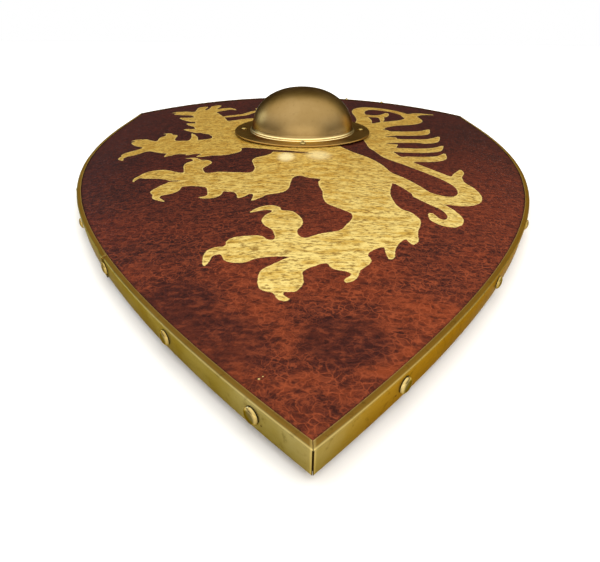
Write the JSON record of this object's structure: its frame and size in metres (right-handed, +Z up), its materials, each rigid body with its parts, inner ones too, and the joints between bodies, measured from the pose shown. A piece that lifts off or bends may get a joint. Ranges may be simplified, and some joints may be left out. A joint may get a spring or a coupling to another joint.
{
  "type": "heater shield",
  "caption": "Curved heater shield: wooden board faced with leather and a gilt lion, brass edging and a domed brass boss.",
  "frame": {"origin": "middle of the footprint on the surface the shield lies on", "axes": "+Z up out of the face, +Y from the shield's point towards its top edge, +X to the right seen from above with the point near"},
  "size_m": [0.4726, 0.6422, 0.075],
  "materials": {
    "board_wood": "dark stained bare wood, matt",
    "leather": "crackled oxblood leather with a gilt lion, satin",
    "edging_brass": "aged brass strip, satin, dulled and spotted",
    "boss_brass": "antique brass, brushed satin, darkened round the flange"
  },
  "bodies": {
    "root": {"board": "board_wood", "leather_facing": "leather", "edging_left_lower": "edging_brass", "edging_left_upper": "edging_brass", "edging_top": "edging_brass", "edging_right": "edging_brass", "boss": "boss_brass", "boss_rivet_1": "boss_brass", "boss_rivet_2": "boss_brass", "boss_rivet_3": "boss_brass", "boss_rivet_4": "boss_brass", "edging_nail_left_1": "edging_brass", "edging_nail_left_2": "edging_brass", "edging_nail_left_3": "edging_brass", "edging_nail_left_4": "edging_brass", "edging_nail_left_5": "edging_brass", "edging_nail_left_6": "edging_brass", "edging_nail_left_7": "edging_brass", "edging_nail_left_8": "edging_brass", "edging_nail_left_9": "edging_brass", "edging_nail_right_1": "edging_brass", "edging_nail_right_2": "edging_brass", "edging_nail_right_3": "edging_brass", "edging_nail_right_4": "edging_brass", "edging_nail_right_5": "edging_brass", "edging_nail_right_6": "edging_brass", "edging_nail_right_7": "edging_brass"}
  },
  "joints": []
}
